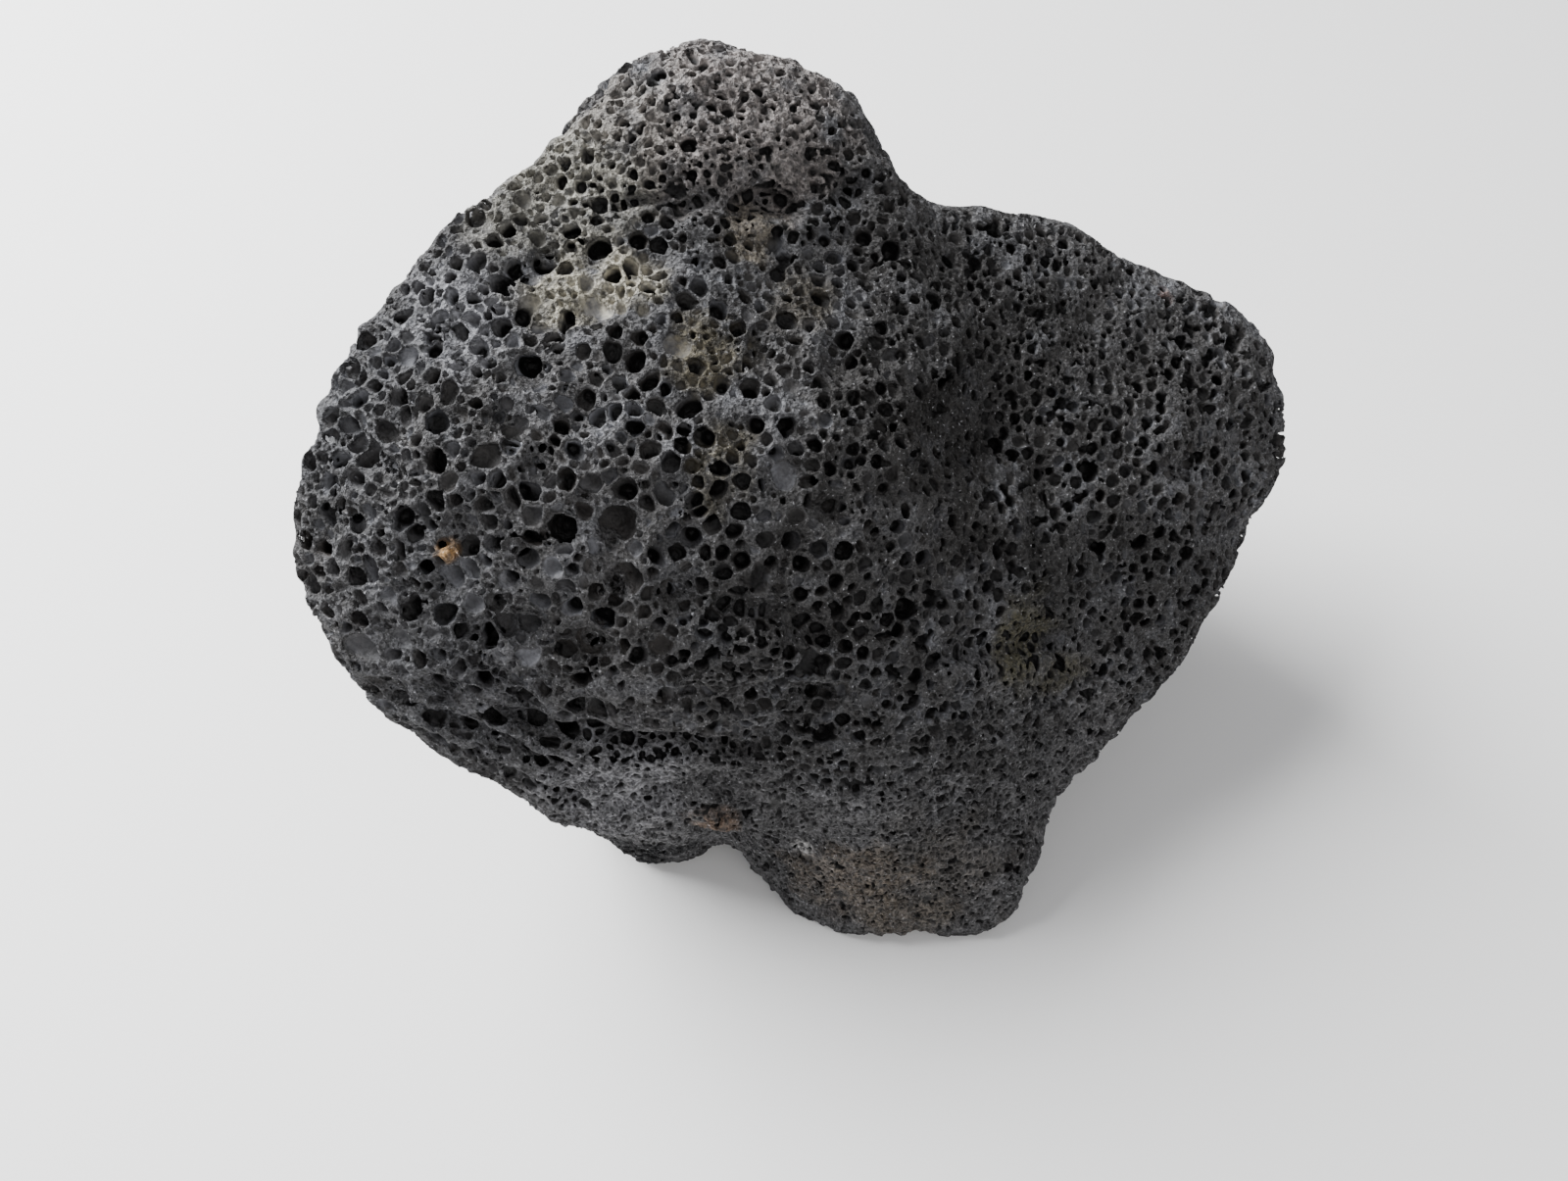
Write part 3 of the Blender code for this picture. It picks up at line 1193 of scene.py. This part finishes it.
@dataclass(frozen=True)
class Basalt:
    """The finish of the stone.

    Args:
        dark: colour of the darkest vesicles.
        middle: colour of most vesicles.
        pale: colour of the palest vesicles.
        rim_highlight: colour of the edges of the walls, a painted highlight where they catch the
            light.
        crust: colour of the granular crust.
        depths: painted shade, the near-black colour that the holes take deep under the skin.
        sparkle: colour of the crystal grains.
        fine_scale: how fine the finest noise is, in repeats a metre.
        grain_scale: the same of the stone's grain.
        mottle_scale: the same of the mottling inside the vesicles.
        broad_scale: the same of the broad shading.
        pit_scale: the same of the crust's pits.
        relief: height of the bump in metres.
        gloss: specular level.
    """

    dark: Colour = (0.027, 0.0235, 0.0215)
    middle: Colour = (0.065, 0.0618, 0.0602)
    pale: Colour = (0.155, 0.157, 0.17)
    rim_highlight: Colour = (0.083, 0.082, 0.085)
    crust: Colour = (0.07, 0.0675, 0.068)
    depths: Colour = (0.004, 0.0035, 0.0035)
    sparkle: Colour = (0.42, 0.42, 0.44)
    fine_scale: float = 1500.0
    grain_scale: float = 620.0
    mottle_scale: float = 95.0
    broad_scale: float = 28.0
    pit_scale: float = 780.0
    relief: float = 0.00042
    gloss: float = 0.28

    def material(self) -> bpy.types.Material:
        """Builds the material.

        Returns:
            The material.
        """
        stone = bpy.data.materials.new("basalt")
        stone.use_nodes = True
        board = Board(stone.node_tree)
        shader = stone.node_tree.nodes["Principled BSDF"]
        place = board.new("ShaderNodeTexCoord").outputs["Object"]
        fine = board.noise(place, self.fine_scale, 3.0)
        grain = board.noise(place, self.grain_scale, 4.0)
        mottle = board.noise(place, self.mottle_scale, 3.0)
        broad = board.noise(place, self.broad_scale, 2.0)
        shade = board.attribute("shade")
        edge = board.attribute("edge")
        sunk = board.attribute("sunk")
        deep = board.attribute("deep")
        crust = board.attribute("crust")
        # Each vesicle's own tone, the crust, and a painted highlight on the edges of the walls.
        tone = board.add(shade, board.swing(mottle, -0.28, 0.28))
        colour = board.ramp(tone, ((0.0, self.dark), (0.5, self.middle), (1.0, self.pale)))
        colour = board.mix(board.scaled(crust, 0.25, 0.8, 0.0, 1.0), colour, self.crust)
        # Painted highlight: the thin wall edges near the skin are made paler, broken up by the
        # grain.
        wear_and_rim_highlight = board.times(edge, board.scaled(grain, 0.35, 0.62, 0.2, 0.8))
        colour = board.mix(wear_and_rim_highlight, colour, self.rim_highlight)
        # The patches: mineral and weathered tints, and painted shade and painted light on some
        # regions.
        for patch in PATCHES:
            colour = self.patch(board, place, tone, (mottle, grain), patch, colour)
        # Broad and fine changes of shade, the finest only near the skin.
        colour = board.shaded(colour, board.swing(broad, 0.78, 1.25))
        colour = board.shaded(colour, board.swing(grain, 0.72, 1.3))
        outer = board.scaled(sunk, 1.4, 0.4, 0.0, 1.0)
        speckle = board.times(outer, board.scaled(fine, 0.33, 0.67, -0.5, 0.5))
        colour = board.shaded(colour, board.add(speckle, 1.0))
        # The pits of the crust, with painted shade darkening their low middles.
        pits = board.new("ShaderNodeTexVoronoi")
        pits.inputs["Scale"].default_value = self.pit_scale
        board.join(place, pits.inputs["Vector"])
        pit_shade = board.times(board.scaled(crust, 0.2, 0.7, 0.25, 1.0),
                             board.scaled(pits.outputs["Distance"], 0.12, 0.42, -0.6, 0.12))
        colour = board.shaded(colour, board.add(board.times(pit_shade, outer), 1.0))
        # Painted light and shade: from a little under the skin downwards the vesicles are made up
        # to 1.3 times paler and the skin 0.9 times darker; deeper down the holes turn near black.
        colour = board.shaded(colour, board.scaled(deep, 0.15, 0.6, 0.9, 1.3))
        colour = board.mix(board.scaled(deep, 0.5, 1.2, 0.0, 0.985), colour, self.depths)
        # Crystal grains on the raised parts.
        raised = board.scaled(sunk, 1.2, 0.2, 0.0, 1.0)
        dots = board.times(raised, board.scaled(fine, 0.66, 0.72, 0.0, 0.75))
        colour = board.mix(dots, colour, self.sparkle)
        board.join(colour, shader.inputs["Base Color"])
        # Rough walls and smoother vesicles.
        rough = board.add(board.scaled(sunk, 0.1, 0.9, 0.86, 0.52),
                          board.swing(grain, -0.08, 0.1))
        board.join(rough, shader.inputs["Roughness"])
        # Grit and pits, faint inside the vesicles.
        open_pits = board.scaled(pits.outputs["Distance"], 0.15, 0.5, 0.0, 1.0)
        gritty = board.times(board.add(open_pits, board.swing(fine, -0.6, 0.6)),
                             board.scaled(sunk, 0.9, 0.25, 0.16, 1.0))
        bump = board.new("ShaderNodeBump")
        bump.inputs["Strength"].default_value = 1.0
        bump.inputs["Distance"].default_value = self.relief
        uneven = board.times(board.swing(grain, -0.7, 0.7),
                             board.scaled(sunk, 0.9, 0.25, 0.45, 1.0))
        board.join(board.add(gritty, uneven), bump.inputs["Height"])
        board.join(bump.outputs["Normal"], shader.inputs["Normal"])
        shader.inputs["Specular IOR Level"].default_value = self.gloss
        return stone

    def patch(self, board: "Board", place: Socket, tone: Socket, noises: tuple[Socket, Socket],
              patch: Patch, colour: Socket) -> Socket:
        """Lays one patch over a colour.

        Args:
            board: where the nodes go.
            place: position on the stone.
            tone: shade of the vesicle, which the patch keeps in part.
            noises: noise that makes the patch's outline ragged, and noise that breaks it up.
            patch: the patch.
            colour: colour under it.

        Returns:
            The colour with the patch.
        """
        mottle, grain = noises
        gap = board.new("ShaderNodeVectorMath")
        gap.operation = "DISTANCE"
        board.join(place, gap.inputs[0])
        gap.inputs[1].default_value = tuple(c * METRES for c in patch.centre)
        reach = patch.reach * METRES
        far = board.scaled(gap.outputs["Value"], 0.0, reach, 0.0, 1.0, False)
        far = board.add(far, board.swing(mottle, -0.45, 0.45))
        share = board.scaled(far, 1.1, 0.55, 0.0, patch.strength)
        share = board.times(share, board.scaled(grain, 0.34, 0.56, 0.35, 1.0))
        darker = tuple(PATCH_TONES[0] * part for part in patch.colour)
        paler = tuple(PATCH_TONES[1] * part for part in patch.colour)
        return board.mix(share, colour, board.mix(tone, darker, paler))


# Where nearly all of a noise's values lie.
NOISE_RANGE = (0.3, 0.7)


@dataclass
class Board:
    """A material's nodes, with short calls for those that are used again and again.

    Args:
        tree: the node tree.
    """

    tree: bpy.types.NodeTree

    def new(self, kind: str) -> bpy.types.Node:
        """Adds a node."""
        return self.tree.nodes.new(kind)

    def join(self, source: Socket | tuple[float, ...] | float, target: Socket) -> None:
        """Links a socket, or sets a constant.

        Args:
            source: socket, colour or number.
            target: the input that takes it.
        """
        if isinstance(source, bpy.types.NodeSocket):
            self.tree.links.new(source, target)
        elif isinstance(source, tuple):
            target.default_value = (*source, 1.0)
        else:
            target.default_value = source

    def attribute(self, name: str) -> Socket:
        """Reads a value that the mesh carries at its corners.

        Args:
            name: the value's name.

        Returns:
            The value.
        """
        node = self.new("ShaderNodeAttribute")
        node.attribute_name = name
        return node.outputs["Fac"]

    def noise(self, place: Socket, scale: float, detail: float) -> Socket:
        """Adds a noise texture.

        Args:
            place: where it is read.
            scale: how fine it is, in repeats a metre.
            detail: layers of finer noise.

        Returns:
            The noise, about one half on average.
        """
        node = self.new("ShaderNodeTexNoise")
        node.inputs["Scale"].default_value = scale
        node.inputs["Detail"].default_value = detail
        self.join(place, node.inputs["Vector"])
        return node.outputs["Fac"]

    def scaled(self, value: Socket, low: float, high: float, new_low: float, new_high: float,
               clamp: bool = True) -> Socket:
        """Brings a value from one range to another.

        Args:
            value: the value.
            low: start of its range.
            high: end of its range.
            new_low: what the start becomes.
            new_high: what the end becomes.
            clamp: whether it stays within the new range.

        Returns:
            The new value.
        """
        node = self.new("ShaderNodeMapRange")
        node.clamp = clamp
        self.join(value, node.inputs["Value"])
        for label, number in zip(("From Min", "From Max", "To Min", "To Max"),
                                 (low, high, new_low, new_high)):
            node.inputs[label].default_value = number
        return node.outputs["Result"]

    def swing(self, noise: Socket, low: float, high: float) -> Socket:
        """Brings a noise's usual range to another one."""
        return self.scaled(noise, *NOISE_RANGE, low, high)

    def math(self, kind: str, first: Socket, second: Socket | float) -> Socket:
        """Works out a value from two.

        Args:
            kind: the operation.
            first: first value.
            second: second value.

        Returns:
            The result.
        """
        node = self.new("ShaderNodeMath")
        node.operation = kind
        self.join(first, node.inputs[0])
        self.join(second, node.inputs[1])
        return node.outputs["Value"]

    def add(self, first: Socket, second: Socket | float) -> Socket:
        """Adds two values."""
        return self.math("ADD", first, second)

    def times(self, first: Socket, second: Socket | float) -> Socket:
        """Multiplies two values."""
        return self.math("MULTIPLY", first, second)

    def ramp(self, value: Socket, stops: tuple[tuple[float, Colour], ...]) -> Socket:
        """Turns a value to a colour.

        Args:
            value: the value.
            stops: places and colours along the range.

        Returns:
            The colour.
        """
        node = self.new("ShaderNodeValToRGB")
        bar = node.color_ramp.elements
        bar[0].position, bar[1].position = stops[0][0], stops[-1][0]
        for at, colour in stops[1:-1]:
            bar.new(at)
        for stop, (at, colour) in zip(bar, stops):
            stop.color = (*colour, 1.0)
        self.join(value, node.inputs["Fac"])
        return node.outputs["Color"]

    def mix(self, share: Socket, under: Socket | Colour, over: Socket | Colour) -> Socket:
        """Lays one colour over another.

        Args:
            share: how much the upper one covers.
            under: the lower colour.
            over: the upper colour.

        Returns:
            The mixed colour.
        """
        node = self.new("ShaderNodeMix")
        node.data_type = "RGBA"
        self.join(share, node.inputs["Factor"])
        self.join(under, node.inputs[6])
        self.join(over, node.inputs[7])
        return node.outputs[2]

    def shaded(self, colour: Socket, amount: Socket) -> Socket:
        """Makes a colour darker or lighter.

        Args:
            colour: the colour.
            amount: what it is multiplied by.

        Returns:
            The new colour.
        """
        node = self.new("ShaderNodeVectorMath")
        node.operation = "SCALE"
        self.join(colour, node.inputs[0])
        self.join(amount, node.inputs["Scale"])
        return node.outputs["Vector"]


@dataclass
class Studio:
    """The floor, the lights and the camera.

    Args:
        eye: where the camera stands.
        across: the picture's direction to the right.
        ahead: the direction of view.
        lens: focal length in millimetres for a 36 mm wide picture.
        floor_colour: the floor's colour.
        floor_rough: its roughness.
        sky: colour of the soft light from all around.
        sky_strength: its strength.
    """

    eye: Triple = (-14.1, -171.4, 305.0)
    across: Triple = (0.9974, -0.0599, -0.0407)
    ahead: Triple = (0.0, 0.5622, -0.8270)
    lens: float = 24.75
    floor_colour: Colour = (0.885, 0.876, 0.862)
    floor_rough: float = 0.6
    sky: Colour = (0.93, 0.95, 1.0)
    sky_strength: float = 0.46

    def camera(self) -> None:
        """Places the camera at the photograph's viewing angle."""
        data = bpy.data.cameras.new("camera")
        data.sensor_fit = "HORIZONTAL"
        data.sensor_width = 36.0
        data.lens = self.lens
        data.clip_start = 0.01
        data.clip_end = 20.0
        made = bpy.data.objects.new("camera", data)
        back = -Vector(self.ahead).normalized()
        right = Vector(self.across).normalized()
        up = back.cross(right).normalized()
        turn = Matrix((right, up, back)).transposed().to_4x4()
        made.matrix_world = Matrix.Translation(Vector(self.eye) * METRES) @ turn
        bpy.context.scene.collection.objects.link(made)
        bpy.context.scene.camera = made

    def floor(self) -> None:
        """Lays the plain pale floor."""
        mesh = bpy.data.meshes.new("floor")
        mesh.from_pydata(
            [(-4, -4, 0), (4, -4, 0), (4, 4, 0), (-4, 4, 0)], [], [(0, 1, 2, 3)]
        )
        paint = bpy.data.materials.new("floor")
        paint.use_nodes = True
        shader = paint.node_tree.nodes["Principled BSDF"]
        shader.inputs["Base Color"].default_value = (*self.floor_colour, 1.0)
        shader.inputs["Roughness"].default_value = self.floor_rough
        mesh.materials.append(paint)
        made = bpy.data.objects.new("floor", mesh)
        bpy.context.scene.collection.objects.link(made)

    def light(self, name: str, spot: Triple, size: float, watts: float, colour: Colour) -> None:
        """Hangs a soft lamp that faces the rock.

        Args:
            name: its name.
            spot: where it hangs, in metres.
            size: its width in metres.
            watts: its power.
            colour: its colour.
        """
        data = bpy.data.lights.new(name, "AREA")
        data.shape = "SQUARE"
        data.size = size
        data.energy = watts
        data.color = colour
        made = bpy.data.objects.new(name, data)
        aim = Vector((0.0, 0.0, 0.09)) - Vector(spot)
        turn = aim.to_track_quat("-Z", "Y").to_matrix().to_4x4()
        made.matrix_world = Matrix.Translation(Vector(spot)) @ turn
        bpy.context.scene.collection.objects.link(made)

    def build(self) -> None:
        """Sets up floor, lights, world and camera."""
        self.camera()
        self.floor()
        self.light("window", (-1.05, 0.75, 1.2), 1.35, 122.0, (0.97, 0.985, 1.0))
        self.light("fill", (0.4, -1.1, 1.3), 1.4, 7.0, (1.0, 0.98, 0.95))
        world = bpy.data.worlds.new("room")
        world.use_nodes = True
        around = world.node_tree.nodes["Background"]
        around.inputs["Color"].default_value = (*self.sky, 1.0)
        around.inputs["Strength"].default_value = self.sky_strength
        bpy.context.scene.world = world


def main() -> None:
    """Builds the rock and the studio."""
    logging.basicConfig(level=logging.INFO, format="%(name)s %(relativeCreated)d %(message)s")
    Studio().build()
    rock = LavaRock()
    rock.build(Basalt().material())


if __name__ == "__main__":
    main()
